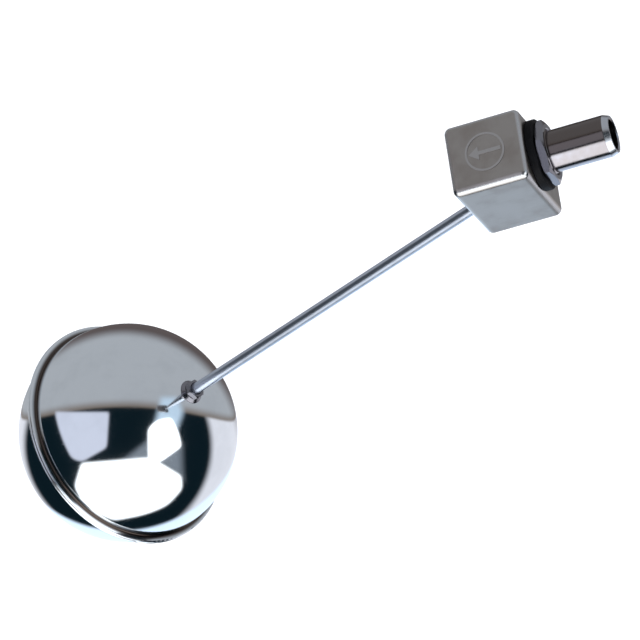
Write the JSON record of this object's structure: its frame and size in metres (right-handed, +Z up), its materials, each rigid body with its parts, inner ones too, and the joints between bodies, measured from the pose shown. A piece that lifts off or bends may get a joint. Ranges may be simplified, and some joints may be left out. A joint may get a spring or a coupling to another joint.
{
  "type": "float valve",
  "caption": "Float valve: a box-shaped hood over a plunger valve with a plain pipe inlet, shut by a polished ball float on a long arm.",
  "frame": {"origin": "on the inlet axis at the outer face of the clamp nut, where the free inlet stub starts", "axes": "+X out along the inlet stub, +Z up through the top of the hood, +Y to complete the right-handed frame; the arm reaches towards -X"},
  "size_m": [0.4266, 0.1346, 0.2909],
  "materials": {
    "hood_steel": "satin cast stainless steel, softly brushed",
    "turned_steel": "turned and polished stainless steel",
    "mirror_steel": "mirror polished stainless steel",
    "stub_steel": "polished stainless steel tube, darkened by heat",
    "rod_steel": "drawn stainless steel bar",
    "cast_steel": "blasted investment cast stainless steel",
    "seat_brass": "turned brass",
    "bush_bronze": "sintered bronze",
    "black_rubber": "moulded black rubber",
    "fibre": "red vulcanised fibre",
    "weld": "seam weld bead, heat dulled"
  },
  "bodies": {
    "valve_body": {"inlet_spigot": "stub_steel", "clamp_nut": "turned_steel", "rubber_gasket": "black_rubber", "inner_sealing_washer": "fibre", "seat_nozzle": "seat_brass", "nozzle_o_ring": "black_rubber", "valve_hood": "hood_steel", "guide_cage": "cast_steel", "pivot_pin": "turned_steel", "pivot_clip": "rod_steel", "stop_pin": "turned_steel"},
    "float_arm": {"lever_crank": "cast_steel", "pivot_bush": "bush_bronze", "float_rod": "rod_steel", "rod_lock_nut": "turned_steel", "ball_lock_nut": "turned_steel", "float_boss": "turned_steel", "boss_washer": "turned_steel", "near_hemisphere": "mirror_steel", "far_hemisphere": "mirror_steel", "seam_weld": "weld"},
    "plunger": {"plunger_body": "seat_brass", "plunger_cap": "seat_brass", "seal_washer": "black_rubber"}
  },
  "joints": [
    {"name": "arm_hinge", "type": "hinge", "parent": "valve_body", "child": "float_arm", "pos_m": [-0.0302, 0, -0.02275], "axis": [0, 1, 0], "range_deg": [0, 31.3]},
    {"name": "plunger_slide", "type": "slide", "parent": "valve_body", "child": "plunger", "axis": [1, 0, 0], "range_m": [0, 0.01229]}
  ],
  "couplings": [
    {"joint": "plunger_slide", "follows": "arm_hinge", "m_per_rad": 0.022468}
  ]
}
